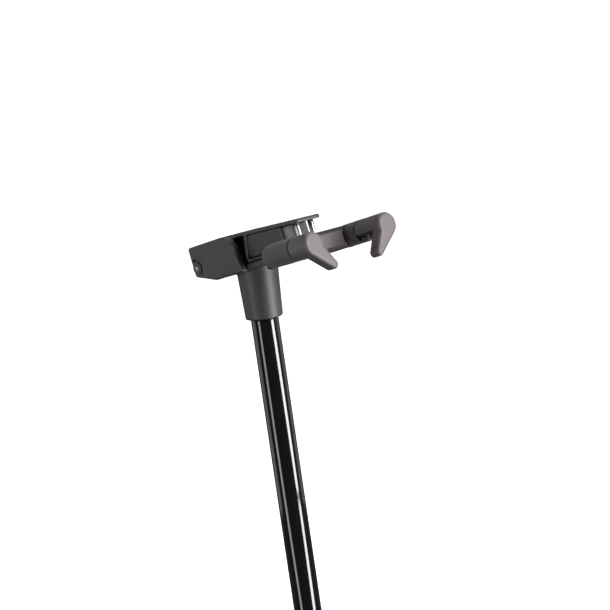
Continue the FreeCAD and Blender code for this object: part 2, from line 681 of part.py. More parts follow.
def shaft_bushes():
    hole = rod_v(SHAFT_R + FIT, 0, FAR, ARM_X, ARM_W)
    start = CRANK_V + CRANK_T + 1.5 * CRANK_ROOM
    back = rod_v(BUSH_R, start, start + SHAFT_BUSH_LENGTH, ARM_X, ARM_W).cut(hole)
    front = rod_v(BUSH_R, NOSE_END - SHAFT_BUSH_LENGTH, NOSE_END, ARM_X, ARM_W).cut(hole)
    return Part.makeCompound([mirrored(back), mirrored(front), back, front])


def lap_sector(start, stop):
    """Part of the foam's sleeve alongside the gate's tongue, between two angles."""
    outline = ring_sector((ARM_X, ARM_W), CORE_R, 2.0 * FOAM_R, start, stop)
    sleeve = rod_v(FOAM_R, LAP_BACK, FOAM_END, ARM_X, ARM_W + FOAM_RISE)
    return front_prism(outline, LAP_BACK, FOAM_END).common(sleeve)


def stop_start():
    return HUB_TO + GATE_SWING + STOP_PLAY


def arm_foam():
    """Foam sleeve with a domed elbow; its end is cut away on the inside for the gate's tongue."""
    dome = Part.makeSphere(FOAM_R, at(ARM_X, FOAM_ELBOW_V, ARM_W + FOAM_RISE))
    skin = fuse(dome, rod_v(FOAM_R, FOAM_ELBOW_V, LAP_BACK, ARM_X, ARM_W + FOAM_RISE),
                lap_sector(stop_start() + STOP_SPAN, TONGUE_FROM + 360.0 - STOP_PLAY))
    core = fuse(elbow(ELBOW_R), rod_v(CORE_R, ELBOW_V, FAR, ARM_X, ARM_W))
    bar = block(-FAR, ARM_X, 0, BAR_FRONT, -FAR, FAR)
    return cut(skin, core, bar)


def crossbar_pad():
    half = BAR_HALF_HEIGHT - PAD_MARGIN
    corner = PAD_T
    outline = rounded([(-PAD_HALF_WIDTH, ARM_W - half, corner), (PAD_HALF_WIDTH, ARM_W - half, corner),
                       (PAD_HALF_WIDTH, ARM_W + half, corner), (-PAD_HALF_WIDTH, ARM_W + half, corner)])
    return front_prism(outline, BAR_FRONT, BAR_FRONT + PAD_T)


def cover_screw_shank():
    return rod_v(COVER_SCREW_R, BAR_BACK - COVER_T, BAR_BACK + COVER_SCREW_GRIP, COVER_SCREW_X, ARM_W)


def crossbar_cover():
    corner = 3.0
    inner = STEM_HALF_WIDTH + 2.0 * GAP
    outline = rounded([(inner, BAR_BOTTOM, 0), (COVER_END, BAR_BOTTOM, corner),
                       (COVER_END, BAR_TOP, corner), (inner, BAR_TOP, 0)])
    return front_prism(outline, BAR_BACK - COVER_T, BAR_BACK).cut(cover_screw_shank())


def cover_screws():
    seat = BAR_BACK - COVER_T
    head = rod_v(COVER_SCREW_HEAD_R, seat - COVER_SCREW_HEAD_T, seat, COVER_SCREW_X, ARM_W)
    socket = rod_v(COVER_SCREW_R * SOCKET_SHARE, 0, seat, COVER_SCREW_X, ARM_W)
    return both_sides(fuse(head, cover_screw_shank()).cut(socket))


def gate_stop():
    """Block on each arm that the gate's tongue comes to rest against when the gate is open."""
    stop = lap_sector(stop_start(), stop_start() + STOP_SPAN)
    return stop.cut(rod_v(CORE_R, 0, FAR, ARM_X, ARM_W))


# ---- gates -------------------------------------------------------------------------------
def gate_shaft():
    return rod_v(SHAFT_R, CRANK_V, SHAFT_END, ARM_X, ARM_W).cut(roll_pin())


def crank():
    outline = belt((ARM_X, ARM_W), CRANK_HUB_R, (CRANK_PIN_X, CRANK_PIN_W), CRANK_END_R)
    plate = front_prism(outline, CRANK_V, CRANK_V + CRANK_T)
    return cut(plate, rod_v(SHAFT_R, 0, FAR, ARM_X, ARM_W), crank_pin())


def crank_pin():
    return rod_v(CRANK_PIN_R, CAM_BACK, CRANK_V + CRANK_T - CRANK_ROOM, CRANK_PIN_X, CRANK_PIN_W)


def roll_pin():
    v = (NOSE_END + GATE_PLATE_BACK) / 2.0
    reach = BUSH_R + ROLL_PIN_PROUD
    return rod_w(ROLL_PIN_R, ARM_W - reach, ARM_W + reach, ARM_X, v)


def gate_hub():
    return (ARM_X, ARM_W - GATE_DROP)


def gate_tip():
    return (ARM_X - GATE_REACH_X, ARM_W - GATE_REACH_W)


def gate_outline():
    """Hub circle and tapering finger, with a hollow corner where the finger's inner edge leaves the hub."""
    hub = FreeCAD.Vector(*gate_hub(), 0)
    back_arc, _, tip_arc, outer_side = belt(gate_hub(), GATE_HUB_R, gate_tip(), GATE_TIP_R)
    _, (root, inner_tip), _, _ = belt((ARM_X, ARM_W), GATE_ROOT_R, gate_tip(), GATE_TIP_R)
    outer_tip, outer_hub = outer_side
    along = (FreeCAD.Vector(*root, 0) - FreeCAD.Vector(*inner_tip, 0)).normalize()
    away = (FreeCAD.Vector(*root, 0) - FreeCAD.Vector(ARM_X, ARM_W, 0)).normalize()
    start = FreeCAD.Vector(*inner_tip, 0) + away * GATE_NOTCH_R - hub
    middle = -start.dot(along)
    half = math.sqrt(middle ** 2 - start.dot(start) + (GATE_HUB_R + GATE_NOTCH_R) ** 2)
    centre = hub + start + along * (middle - half)
    on_finger = centre - away * GATE_NOTCH_R
    on_hub = hub + (centre - hub) * (GATE_HUB_R / (GATE_HUB_R + GATE_NOTCH_R))
    inward = ((on_finger - centre) + (on_hub - centre)).normalize()
    deepest = centre + inward * GATE_NOTCH_R
    return [[(on_hub.x, on_hub.y), back_arc[1], outer_hub], [outer_hub, outer_tip],
            [outer_tip, tip_arc[1], inner_tip], [inner_tip, (on_finger.x, on_finger.y)],
            [(on_finger.x, on_finger.y), (deepest.x, deepest.y), (on_hub.x, on_hub.y)]]


def gate_core():
    """Stiff plate inside the finger, with a boss that the shaft is pinned in."""
    middle = (GATE_PLATE_BACK + GATE_FRONT) / 2.0
    back = middle - CORE_PLATE_T / 2.0
    outline = belt((ARM_X, ARM_W), GATE_ROOT_R - CORE_MARGIN, gate_tip(), GATE_TIP_R / 2.0)
    finger = front_prism(outline, back, back + CORE_PLATE_T)
    disc = rod_v(GATE_HUB_R - CORE_MARGIN, back, back + CORE_PLATE_T, *gate_hub())
    boss = rod_v(BUSH_R + NOSE_GAP, NOSE_END + NOSE_GAP, back, ARM_X, ARM_W)
    return cut(fuse(finger, disc, boss), rod_v(SHAFT_R, 0, SHAFT_END, ARM_X, ARM_W), roll_pin())


def gate_finger():
    finger = front_prism(gate_outline(), GATE_PLATE_BACK, GATE_FRONT)
    front_rim = [e for e in finger.Edges if abs(e.CenterOfMass.y + GATE_FRONT) < 0.01]
    finger = finger.makeFillet(GATE_EDGE, front_rim)
    back_rim = [e for e in finger.Edges if abs(e.CenterOfMass.y + GATE_PLATE_BACK) < 0.01]
    return finger.makeFillet(GATE_BACK_EDGE, back_rim)


def gate_hood():
    """Hub shell behind the finger, with a tongue that laps back over the arm's end."""
    hub_x, hub_w = gate_hub()
    taper = Part.makeCone(GATE_BACK_R, GATE_HUB_R, GATE_TAPER_END - GATE_BACK,
                          at(hub_x, GATE_BACK, hub_w), FreeCAD.Vector(0, -1, 0))
    sleeve = fuse(taper, rod_v(GATE_HUB_R, GATE_TAPER_END, GATE_PLATE_BACK + GATE_EDGE, hub_x, hub_w))
    shaft = (ARM_X, ARM_W)
    shell = front_prism(ring_sector(shaft, SHAFT_R, FAR / 4.0, HUB_FROM, HUB_TO), HUB_BACK, FAR)
    tongue = front_prism(ring_sector(shaft, SHAFT_R, FAR / 4.0, TONGUE_FROM, HUB_TO), 0, HUB_BACK)
    room_for_arm = rod_v(CORE_R + GAP, 0, NOSE_END + NOSE_GAP, ARM_X, ARM_W)
    return sleeve.common(fuse(shell, tongue)).cut(room_for_arm)


def gate_pad():
    """Soft moulding: the finger, the hub shell and its tongue."""
    body = fuse(gate_finger(), gate_hood())
    return cut(body, rod_v(SHAFT_R, 0, SHAFT_END, ARM_X, ARM_W), gate_core(), roll_pin())


# ---- export ------------------------------------------------------------------------------
def into_head_frame(shape):
    moved = shape.copy()
    moved.Placement = HEAD_PLACE.inverse().multiply(moved.Placement)
    return moved


def out_of_head_frame(shape):
    moved = shape.copy()
    moved.Placement = HEAD_PLACE.multiply(moved.Placement)
    return moved


POST_PIECES = {
    "post_tube": post_tube,
    "tube_end_plug": tube_end_plug,
    "tube_insert": tube_insert,
    "collar_screws": collar_screws,
}

HEAD_PIECES = {
    "collar": collar,
    "hinge_bushes": hinge_bushes,
    "rest_bumpers": rest_bumpers,
    "head_housing": head_housing,
    "yoke_stem": yoke_stem,
    "stem_screws": stem_screws,
    "hinge_pin": hinge_pin,
    "hinge_washers": hinge_washers,
    "cam_bar": cam_bar,
    "cam_screws": cam_screws,
    "guide_pins": guide_pins,
    "return_springs": return_springs,
    "yoke_frame": yoke_frame,
    "crossbar_pad": crossbar_pad,
    "cover_screws": cover_screws,
    "guide_bushes": guide_bushes,
    "shaft_bushes": shaft_bushes,
}

SIDED_PIECES = {
    "arm_foam": arm_foam,
    "crossbar_cover": crossbar_cover,
    "gate_stop": gate_stop,
    "gate_shaft": gate_shaft,
    "crank": crank,
    "crank_pin": crank_pin,
    "roll_pin": roll_pin,
    "gate_core": gate_core,
    "gate_pad": gate_pad,
}


def export(name, shape):
    if not shape.isValid():
        print("NOT VALID", name)
    shape.exportStep(os.path.join("parts", name + ".step"))
    print(name, len(shape.Solids), "solid(s)", round(shape.Volume, 1), "mm3")


os.makedirs("parts", exist_ok=True)
for name, make in POST_PIECES.items():
    export(name, make())
for name, make in HEAD_PIECES.items():
    export(name, out_of_head_frame(make()))
for name, make in SIDED_PIECES.items():
    right = make()
    export(name + "_right", out_of_head_frame(right))
    export(name + "_left", out_of_head_frame(mirrored(right)))
print("yoke rise", round(YOKE_RISE, 4), "mm, ratio", round(math.radians(GATE_SWING) / YOKE_RISE * 1000.0, 4))
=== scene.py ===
# %% [markdown]
# # Guitar hanger head on a post tube
# The real thing is the top of a floor stand: a gloss black tube, a moulded collar, a folding head
# and a yoke with two soft arms. Two gates close in front of the neck when a guitar is hung.
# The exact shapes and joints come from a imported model. This lesson loads it as a fixed frame and
# then gives each visible piece its rounded edges, its soft skin and its finish.

# %% Load the frame
import bpy, bmesh, math
from mathutils import Matrix, Vector


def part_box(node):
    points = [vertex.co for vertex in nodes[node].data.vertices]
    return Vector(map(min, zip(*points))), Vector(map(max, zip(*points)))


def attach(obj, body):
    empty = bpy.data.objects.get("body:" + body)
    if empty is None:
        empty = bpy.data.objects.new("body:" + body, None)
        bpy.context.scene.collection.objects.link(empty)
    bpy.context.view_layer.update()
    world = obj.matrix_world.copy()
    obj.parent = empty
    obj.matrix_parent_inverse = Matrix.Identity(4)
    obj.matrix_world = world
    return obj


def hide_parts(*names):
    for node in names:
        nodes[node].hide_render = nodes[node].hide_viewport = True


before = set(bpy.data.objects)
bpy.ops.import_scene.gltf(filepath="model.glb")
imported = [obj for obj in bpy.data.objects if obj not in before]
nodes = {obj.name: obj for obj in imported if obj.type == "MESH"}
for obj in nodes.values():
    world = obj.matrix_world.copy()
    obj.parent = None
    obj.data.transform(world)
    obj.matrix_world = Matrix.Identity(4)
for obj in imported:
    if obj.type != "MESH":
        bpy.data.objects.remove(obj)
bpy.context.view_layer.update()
BOTH = ("left", "right")


def placed(name, data):
    """A new object in the scene."""
    thing = bpy.data.objects.new(name, data)
    bpy.context.collection.objects.link(thing)
    return thing


# %% [markdown]
# The head leans back by 12 degrees. Most positions are easier to say along the arms (v, forward)
# and square to them (w, up), so a small helper turns such a position into the frame's metres.
# The head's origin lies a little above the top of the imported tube, so the tube's box places it.

# %% Head axes
LEAN = math.radians(12.0)
FORWARD = Vector((0.0, -math.cos(LEAN), math.sin(LEAN)))
UPWARD = Vector((0.0, math.sin(LEAN), math.cos(LEAN)))
SIDEWAYS = Vector((1.0, 0.0, 0.0))
ORIGIN_ABOVE_TUBE = 0.006
TUBE_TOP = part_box("post_tube")[1][2]
HEAD_ORIGIN = Vector((0.0, 0.0, TUBE_TOP + ORIGIN_ABOVE_TUBE))


def head_point(x, v, w):
    """A point given in millimetres across, along and above the arms."""
    return HEAD_ORIGIN + SIDEWAYS * (x / 1000) + FORWARD * (v / 1000) + UPWARD * (w / 1000)


print("head origin", HEAD_ORIGIN)

# %% [markdown]
# The camera stands to the front left of the head, a little above it, with a long lens. A long
# lens keeps parallel edges nearly parallel. The camera's own axes are written as the columns of
# its matrix.

# %% Camera
CAMERA_PLACE = (-1.36682, -1.49554, 0.57617)
CAMERA_RIGHT = Vector((0.70637, -0.69324, -0.14304))
CAMERA_AHEAD = Vector((0.67743, 0.72067, -0.14737))
SENSOR_MM, LENS_MM, SEEN_TO = 36.0, 178.1, 60.0
camera_data = bpy.data.cameras.new("camera")
camera = placed("camera", camera_data)
camera_data.sensor_width = SENSOR_MM
camera_data.lens = LENS_MM
camera_data.clip_end = SEEN_TO
ahead = CAMERA_AHEAD.normalized()
up = CAMERA_RIGHT.normalized().cross(ahead).normalized()
right = ahead.cross(up).normalized()
turn = Matrix((right, up, -ahead)).transposed()
camera.matrix_world = Matrix.Translation(CAMERA_PLACE) @ turn.to_4x4()
bpy.context.scene.camera = camera
print("camera lens", camera_data.lens, "mm, at", tuple(round(c, 3) for c in camera.location))

# %% [markdown]
# The studio is white, with one large soft box to the camera's right. It lights the gates' front
# faces and draws the bright line down the gloss tube; its foot only carries that line further
# down. On the left a tall strip draws the tube's second, grey line and a second box lights the
# bodies without being reflected. Dim panels fill the sides and the top. The lights hang in a ring
# round the object, so one helper places each by its angle from the camera.

# %% Soft boxes
CENTRE = Vector((0.0, -0.02, 0.28))
to_camera = Vector((camera.location.x, camera.location.y, 0.0)).normalized()
to_right = Vector((-to_camera.y, to_camera.x, 0.0))


def soft_box(name, degrees, distance, width, height, middle_z, brightness, tint=(1.0, 1.0, 1.0)):
    """An area light that faces the object; brightness is its radiance."""
    angle = math.radians(degrees)
    direction = to_camera * math.cos(angle) + to_right * math.sin(angle)
    place = Vector((CENTRE.x, CENTRE.y, 0.0)) + direction * distance
    place.z = middle_z
    data = bpy.data.lights.new(name, "AREA")
    data.shape = "RECTANGLE"
    data.size, data.size_y = width, height
    data.energy = brightness * math.pi * width * height
    data.color = tint
    light = placed(name, data)
    look = (CENTRE - place).normalized()
    light.matrix_world = Matrix.Translation(place) @ look.to_track_quat("-Z", "Y").to_matrix().to_4x4()
    return light


WARM, PALE_WARM = (1.0, 0.95, 0.96), (1.0, 0.96, 0.97)
soft_box("key box", degrees=64, distance=2.2, width=0.85, height=2.3, middle_z=0.75, brightness=19.0,
         tint=WARM)
low_key = soft_box("key box foot", degrees=64, distance=2.2, width=0.85, height=1.3, middle_z=-1.05,
                   brightness=17.0, tint=PALE_WARM)
low_key.visible_diffuse = False
left_line = soft_box("left strip", degrees=-57, distance=2.2, width=0.6, height=3.4, middle_z=0.1,
                     brightness=5.0)
left_line.visible_diffuse = False
left_body = soft_box("left body", degrees=-60, distance=2.2, width=0.5, height=2.2, middle_z=0.6,
                     brightness=4.6)
left_body.visible_glossy = False
soft_box("left fill", degrees=-112, distance=2.2, width=1.5, height=2.2, middle_z=0.6, brightness=0.9)
soft_box("right fill", degrees=118, distance=2.4, width=1.6, height=2.2, middle_z=0.6, brightness=0.7)
soft_box("top fill", degrees=180, distance=0.9, width=1.2, height=1.2, middle_z=2.3, brightness=2.2)

# %% [markdown]
# The floor is a large pale sheet. In a studio the white sheet lies far below the head, so here it
# takes light and shadow but is kept out of the object's own reflections. Behind it the world is
# white where it is looked at directly, and a soft grey as a light.

# %% Floor and world
FLOOR_REACH = 14
FLOOR_GREY, FLOOR_ROUGHNESS, FLOOR_GLOW = (0.9, 0.9, 0.9, 1), 0.9, 0.95
WHITE, SKY_TINT, SKY_LIGHT = (1, 1, 1, 1), (0.97, 0.98, 1.0, 1), 0.11
floor_corners = [(x * FLOOR_REACH, y * FLOOR_REACH, 0) for x, y in ((-1, -1), (1, -1), (1, 1), (-1, 1))]
floor_mesh = bpy.data.meshes.new("studio_floor")
floor_mesh.from_pydata(floor_corners, [], [(0, 1, 2, 3)])
floor = placed("studio_floor", floor_mesh)
floor.visible_glossy = False
floor.visible_diffuse = False
floor.visible_shadow = False
floor_paint = bpy.data.materials.new("pale_studio_sheet")
floor_paint.use_nodes = True
floor_shader = floor_paint.node_tree.nodes["Principled BSDF"]
floor_shader.inputs["Base Color"].default_value = FLOOR_GREY
floor_shader.inputs["Roughness"].default_value = FLOOR_ROUGHNESS
floor_shader.inputs["Emission Color"].default_value = WHITE
floor_shader.inputs["Emission Strength"].default_value = FLOOR_GLOW
floor_mesh.materials.append(floor_paint)

world = bpy.data.worlds.new("studio")
bpy.context.scene.world = world
world.use_nodes = True
sky = world.node_tree
sky.nodes.clear()
seen = sky.nodes.new("ShaderNodeBackground")
seen.inputs["Color"].default_value = WHITE
seen.inputs["Strength"].default_value = 1.0
lit = sky.nodes.new("ShaderNodeBackground")
lit.inputs["Color"].default_value = SKY_TINT
lit.inputs["Strength"].default_value = SKY_LIGHT
path = sky.nodes.new("ShaderNodeLightPath")
mix = sky.nodes.new("ShaderNodeMixShader")
sky_out = sky.nodes.new("ShaderNodeOutputWorld")
sky.links.new(path.outputs["Is Camera Ray"], mix.inputs["Fac"])
sky.links.new(lit.outputs[0], mix.inputs[1])
sky.links.new(seen.outputs[0], mix.inputs[2])
sky.links.new(mix.outputs[0], sky_out.inputs["Surface"])
bpy.context.scene.view_settings.view_transform = "Standard"
bpy.context.scene.view_settings.look = "None"
print("floor and world ready")

# %% [markdown]
# Every finish on this object is a dark one, so its character comes from its surface. Moulded
# plastic has a fine spark-eroded grain, soft rubber has tiny pores, and both gather a little dust
# and rub marks. Each of these effects is a shader node group that several finishes share.

# %% Shared surface groups
def new_group(name, inputs, outputs):
    """A shader group with its sockets; returns it with its input and output nodes."""
    group = bpy.data.node_groups.new(name, "ShaderNodeTree")
    for label, kind, value in inputs:
        socket = group.interface.new_socket(label, in_out="INPUT", socket_type=kind)
        socket.default_value = value
    for label, kind in outputs:
        group.interface.new_socket(label, in_out="OUTPUT", socket_type=kind)
    return group, group.nodes.new("NodeGroupInput"), group.nodes.new("NodeGroupOutput")


def link(tree, start, end):
    """Joins an output to an input."""
    tree.links.new(start, end)


def math_node(tree, operation, first, second):
    """The result of a sum on two numbers or sockets."""
    node = tree.nodes.new("ShaderNodeMath")
    node.operation = operation
    for socket, value in zip(node.inputs, (first, second)):
        if isinstance(value, (int, float)):
            socket.default_value = value
        else:
            link(tree, value, socket)
    return node.outputs[0]


def noise_node(tree, vector, scale, detail, roughness=0.5):
    """A noise value; its scale is a number or a socket."""
    node = tree.nodes.new("ShaderNodeTexNoise")
    link(tree, vector, node.inputs["Vector"])
    if isinstance(scale, (int, float)):
        node.inputs["Scale"].default_value = scale
    else:
        link(tree, scale, node.inputs["Scale"])
    node.inputs["Detail"].default_value = detail
    node.inputs["Roughness"].default_value = roughness
    return node.outputs["Fac"]


FLOAT, VECTOR = "NodeSocketFloat", "NodeSocketVector"
POSITION = ("Position", VECTOR, (0, 0, 0))
RELIEF_OUTPUTS = [("Height", FLOAT), ("Mask", FLOAT)]
WAVE_SCALE, PORE_NOISE_SCALE = 90.0, 420.0
CLOUD_LOW, CLOUD_HIGH = 0.42, 0.72

# spark-eroded grain: two sizes of pits, as a height
grain, ins, outs = new_group(
    "moulded_grain", [POSITION, ("Grain Scale", FLOAT, 2600.0), ("Waviness", FLOAT, 0.25)], RELIEF_OUTPUTS)
fine = noise_node(grain, ins.outputs["Position"], ins.outputs["Grain Scale"], 3.0, 0.6)
wave = noise_node(grain, ins.outputs["Position"], WAVE_SCALE, 2.0)
height = math_node(grain, "ADD", fine, math_node(grain, "MULTIPLY", wave, ins.outputs["Waviness"]))
link(grain, height, outs.inputs["Height"])
link(grain, fine, outs.inputs["Mask"])

# foam pores: small round cells with a soft noise between them
pores, ins, outs = new_group(
    "foam_pores", [POSITION, ("Pore Scale", FLOAT, 1500.0), ("Softness", FLOAT, 0.5)], RELIEF_OUTPUTS)
cells = pores.nodes.new("ShaderNodeTexVoronoi")
cells.feature = "SMOOTH_F1"
link(pores, ins.outputs["Position"], cells.inputs["Vector"])
link(pores, ins.outputs["Pore Scale"], cells.inputs["Scale"])
soft = noise_node(pores, ins.outputs["Position"], PORE_NOISE_SCALE, 3.0)
softened = math_node(pores, "MULTIPLY", soft, ins.outputs["Softness"])
pitted = math_node(pores, "ADD", cells.outputs["Distance"], softened)
link(pores, pitted, outs.inputs["Height"])
link(pores, soft, outs.inputs["Mask"])

# dust and handling: slow, cloudy patches
handling, ins, outs = new_group(
    "handling_marks", [POSITION, ("Patch Scale", FLOAT, 38.0), ("Amount", FLOAT, 0.5)], [("Mask", FLOAT)])
cloud = noise_node(handling, ins.outputs["Position"], ins.outputs["Patch Scale"], 5.0, 0.62)
ramp = handling.nodes.new("ShaderNodeMapRange")
ramp.inputs["From Min"].default_value = CLOUD_LOW
ramp.inputs["From Max"].default_value = CLOUD_HIGH
link(handling, cloud, ramp.inputs["Value"])
amount = math_node(handling, "MULTIPLY", ramp.outputs["Result"], ins.outputs["Amount"])
link(handling, amount, outs.inputs["Mask"])
print("groups", [g.name for g in bpy.data.node_groups])

# %% [markdown]
# One recipe builds every finish: a group gives a height for the bump and a mask for roughness,
# and the handling marks tint the colour slightly. Values that are the same all over, such as the
# metal or the sheen, are set on the shader itself.

# %% Finish recipe
MIX_FACTOR, MIX_FIRST, MIX_SECOND, MIX_RESULT = 0, 6, 7, 2
SCALE_INPUT = 1


def finish(name, colour, worn, roughness, texture, scale, bump, depth, spread=0.06,
           metallic=0.0, sheen=0.0, specular=0.5, marks=0.5):
    """A material; worn is the colour under the handling marks, spread the roughness either way."""
    material = bpy.data.materials.new(name)
    material.use_nodes = True
    tree = material.node_tree
    shader = tree.nodes["Principled BSDF"]
    shader.inputs["Metallic"].default_value = metallic
    shader.inputs["Specular IOR Level"].default_value = specular
    shader.inputs["Sheen Weight"].default_value = sheen
    shader.inputs["Sheen Roughness"].default_value = 0.5
    place = tree.nodes.new("ShaderNodeTexCoord").outputs["Object"]
    patch = tree.nodes.new("ShaderNodeGroup")
    patch.node_tree = handling
    patch.inputs["Amount"].default_value = marks
    link(tree, place, patch.inputs["Position"])
    tint = tree.nodes.new("ShaderNodeMix")
    tint.data_type = "RGBA"
    tint.inputs[MIX_FIRST].default_value = (*colour, 1)
    tint.inputs[MIX_SECOND].default_value = (*worn, 1)
    link(tree, patch.outputs["Mask"], tint.inputs[MIX_FACTOR])
    link(tree, tint.outputs[MIX_RESULT], shader.inputs["Base Color"])
    rough = tree.nodes.new("ShaderNodeMapRange")
    rough.inputs["To Min"].default_value = roughness - spread
    rough.inputs["To Max"].default_value = roughness + spread
    skin = tree.nodes.new("ShaderNodeGroup")
    skin.node_tree = texture
    link(tree, place, skin.inputs["Position"])
    skin.inputs[SCALE_INPUT].default_value = scale
    relief = tree.nodes.new("ShaderNodeBump")
    relief.inputs["Strength"].default_value = bump
    relief.inputs["Distance"].default_value = depth
    link(tree, skin.outputs["Height"], relief.inputs["Height"])
    link(tree, relief.outputs["Normal"], shader.inputs["Normal"])
    link(tree, skin.outputs["Mask"], rough.inputs["Value"])
    link(tree, rough.outputs["Result"], shader.inputs["Roughness"])
    return material


housing_grain = finish("housing_grain_plastic", (0.036, 0.033, 0.037), (0.047, 0.043, 0.047), 0.47,
                       texture=grain, scale=2400.0, bump=0.35, depth=0.00005, marks=0.5)
collar_grain = finish("collar_satin_plastic", (0.03, 0.028, 0.033), (0.038, 0.035, 0.038), 0.5,
                      texture=grain, scale=2600.0, bump=0.3, depth=0.00004, marks=0.4)
stem_cast = finish("stem_cast_paint", (0.03, 0.029, 0.032), (0.042, 0.04, 0.042), 0.4,
                   texture=grain, scale=1500.0, bump=0.3, depth=0.00005, marks=0.4)
sleeve_foam = finish("sleeve_foam_rubber", (0.1, 0.09, 0.09), (0.122, 0.11, 0.109), 0.72, spread=0.05,
                     texture=pores, scale=1700.0, bump=0.4, depth=0.00009, sheen=0.12, specular=0.3,
                     marks=0.6)
gate_skin = finish("gate_soft_rubber", (0.088, 0.079, 0.08), (0.107, 0.096, 0.097), 0.52, spread=0.05,
                   texture=pores, scale=2000.0, bump=0.35, depth=0.00007, sheen=0.1, specular=0.5, marks=0.5)
gloss_tube = finish("tube_gloss_powder_coat", (0.002, 0.002, 0.0022), (0.003, 0.003, 0.0033), 0.1,
                    spread=0.02, texture=grain, scale=700.0, bump=0.03, depth=0.00003, specular=0.62,
                    marks=0.4)
bright_steel = finish("pin_bright_steel", (0.5, 0.49, 0.49), (0.4, 0.39, 0.39), 0.34, metallic=1.0,
                      texture=grain, scale=900.0, bump=0.03, depth=0.00001)
zinc_steel = finish("zinc_plated_steel", (0.5, 0.5, 0.51), (0.4, 0.4, 0.4), 0.33, metallic=1.0,
                    texture=grain, scale=1800.0, bump=0.12, depth=0.00003)
black_oxide = finish("screw_black_oxide", (0.03, 0.03, 0.032), (0.05, 0.05, 0.05), 0.36, metallic=0.6,
                     texture=grain, scale=2200.0, bump=0.15, depth=0.00003)
spring_wire = finish("spring_drawn_wire", (0.42, 0.42, 0.43), (0.33, 0.33, 0.33), 0.28, metallic=1.0,
                     texture=grain, scale=2600.0, bump=0.1, depth=0.00002)
nylon_black = finish("nylon_black", (0.025, 0.025, 0.026), (0.035, 0.035, 0.035), 0.45,
                     texture=grain, scale=2000.0, bump=0.2, depth=0.00004)
nylon_pale = finish("nylon_natural", (0.62, 0.6, 0.54), (0.55, 0.52, 0.46), 0.42,
                    texture=grain, scale=2000.0, bump=0.15, depth=0.00004)
bumper_rubber = finish("bumper_rubber", (0.02, 0.02, 0.02), (0.03, 0.03, 0.03), 0.7,
                       texture=pores, scale=1500.0, bump=0.3, depth=0.00005, specular=0.3)
print("finishes", len(bpy.data.materials) - 1)

# %% [markdown]
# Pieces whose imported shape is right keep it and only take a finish. These are mostly the small
# ones inside the mechanism, which show in the gaps and when the gates open.

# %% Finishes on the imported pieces
KEPT = {
    "tube_end_plug": nylon_black, "tube_insert": nylon_black, "hinge_bushes": nylon_pale,
    "rest_bumpers": bumper_rubber, "hinge_washers": housing_grain, "hinge_pin": bright_steel,
    "cam_bar": zinc_steel, "guide_bushes": nylon_pale,
    "shaft_bushes": nylon_pale, "gate_shaft_left": bright_steel, "gate_shaft_right": bright_steel,
    "crank_left": zinc_steel, "crank_right": zinc_steel, "crank_pin_left": zinc_steel,
    "crank_pin_right": zinc_steel, "roll_pin_left": zinc_steel, "roll_pin_right": zinc_steel,
    "gate_core_left": nylon_black, "gate_core_right": nylon_black,
}


def paint(thing, material):
    """Gives the whole piece one finish."""
    thing.data.materials.clear()
    thing.data.materials.append(material)


for name, material in KEPT.items():
    paint(nodes[name], material)
print("painted", len(KEPT), "packed pieces")

# %% [markdown]
# A moulded or cast piece never has a sharp edge: the tool's corners are rounded and light catches
# them as a thin bright line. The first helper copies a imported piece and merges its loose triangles
# back into whole faces. The second applies modifiers, so that what is left is a plain mesh.

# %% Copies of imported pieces
WELD_GAP = 2e-6
FLAT_ANGLE = math.radians(0.6)


def merged_copy(node, name):
    """A clean copy: doubles merged and flat areas joined into single faces."""
    mesh = nodes[node].data.copy()
    mesh.name = name
    work = bmesh.new()
    work.from_mesh(mesh)
    bmesh.ops.remove_doubles(work, verts=work.verts, dist=WELD_GAP)
    bmesh.ops.dissolve_degenerate(work, dist=WELD_GAP, edges=work.edges)
    bmesh.ops.dissolve_limit(work, angle_limit=FLAT_ANGLE, verts=work.verts, edges=work.edges,
                             delimit=set())
    work.to_mesh(mesh)
    work.free()
    mesh.materials.clear()
    if "custom_normal" in mesh.attributes:
        mesh.attributes.remove(mesh.attributes["custom_normal"])
    return placed(name, mesh)


def baked(piece):
    """Applies the piece's modifiers, so that it is a plain mesh."""
    bpy.context.view_layer.update()
    graph = bpy.context.evaluated_depsgraph_get()
    mesh = bpy.data.meshes.new_from_object(piece.evaluated_get(graph), depsgraph=graph)
    piece.modifiers.clear()
    old = piece.data
    piece.data = mesh
    mesh.name = piece.name
    bpy.data.meshes.remove(old)
    return piece


print("copies merge points within", WELD_GAP, "m")

# %% [markdown]
# The housing is the largest moulding: two cheeks joined by a sloping roof, with a deep recess
# between them. All its corners are generously rounded. It is rebuilt from small even cells and
# relaxed, which rounds every corner by the same small radius, however many faces meet there. The
# cheeks' outer edges and the back are relaxed longer, but not the ring round the hinge pin.

# %% Head housing
SHELL_CELL, CASTING_CELL, SKIN_CELL, SMALL_CELL = 0.0005, 0.0004, 0.0004, 0.0002
RELAX_STEP = 0.5
CURVE_ANGLE = math.radians(0.35)
HINGE_V, HINGE_W, HINGE_RING = -37.3, 11.6, 7.5
CHEEK_OUTSIDE, BACK_V, BACK_TOP_W = 17.0, -37.0, 19.0


def along(point):
    """Head coordinates (x, v, w) of a point, in millimetres."""
    offset = point - HEAD_ORIGIN
    return offset.x * 1000, offset.dot(FORWARD) * 1000, offset.dot(UPWARD) * 1000


